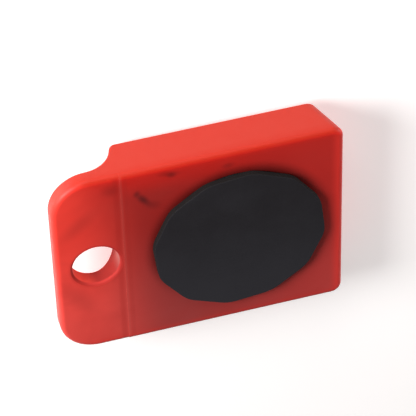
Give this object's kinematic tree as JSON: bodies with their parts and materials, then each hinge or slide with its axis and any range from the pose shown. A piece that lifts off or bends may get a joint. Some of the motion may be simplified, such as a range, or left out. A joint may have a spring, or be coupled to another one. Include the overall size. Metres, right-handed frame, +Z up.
{
  "type": "furniture moving roller",
  "caption": "Moulded roller block for moving furniture: nylon wheels on steel pins in its hollow underside, a grip pad on a turntable on top, and a tab with a hanging hole.",
  "frame": {"origin": "on the floor under the middle of the whole roller, wheels down", "axes": "+Z up, +X along the roller away from the hanging tab, +Y to the left when facing +X"},
  "size_m": [0.1054, 0.08, 0.023],
  "materials": {
    "body": "moulded red ABS, half gloss",
    "plate": "moulded red ABS, fine texture",
    "disc": "black polypropylene",
    "grip": "dense black rubber, cut from sheet",
    "acetal": "natural acetal",
    "wheel": "moulded nylon",
    "axle_steel": "drawn steel pin",
    "washer_steel": "zinc plated",
    "screw_steel": "zinc plated"
  },
  "bodies": {
    "chassis": {"body_block": "body", "base_plate": "plate", "plate_screws": "screw_steel", "glide_ring": "acetal", "pivot_bush": "acetal", "axle_front_left": "axle_steel", "axle_front_right": "axle_steel", "axle_rear_left": "axle_steel", "axle_rear_right": "axle_steel"},
    "turntable": {"turntable_disc": "disc", "grip_pad": "grip", "pivot_washer": "washer_steel", "pivot_screw": "screw_steel"},
    "wheel_front_left": {"wheel_front_left": "wheel"},
    "wheel_front_right": {"wheel_front_right": "wheel"},
    "wheel_rear_left": {"wheel_rear_left": "wheel"},
    "wheel_rear_right": {"wheel_rear_right": "wheel"}
  },
  "joints": [
    {"name": "turntable_turn", "type": "hinge", "parent": "chassis", "child": "turntable", "pos_m": [0.01365, 0, 0.0205], "axis": [0, 0, 1], "continuous": true},
    {"name": "wheel_spin_front_left", "type": "hinge", "parent": "chassis", "child": "wheel_front_left", "pos_m": [0.03415, 0.0235, 0.0073], "axis": [0, 1, 0], "continuous": true},
    {"name": "wheel_spin_front_right", "type": "hinge", "parent": "chassis", "child": "wheel_front_right", "pos_m": [0.03415, -0.0235, 0.0073], "axis": [0, 1, 0], "continuous": true},
    {"name": "wheel_spin_rear_left", "type": "hinge", "parent": "chassis", "child": "wheel_rear_left", "pos_m": [-0.00685, 0.0235, 0.0073], "axis": [0, 1, 0], "continuous": true},
    {"name": "wheel_spin_rear_right", "type": "hinge", "parent": "chassis", "child": "wheel_rear_right", "pos_m": [-0.00685, -0.0235, 0.0073], "axis": [0, 1, 0], "continuous": true}
  ]
}
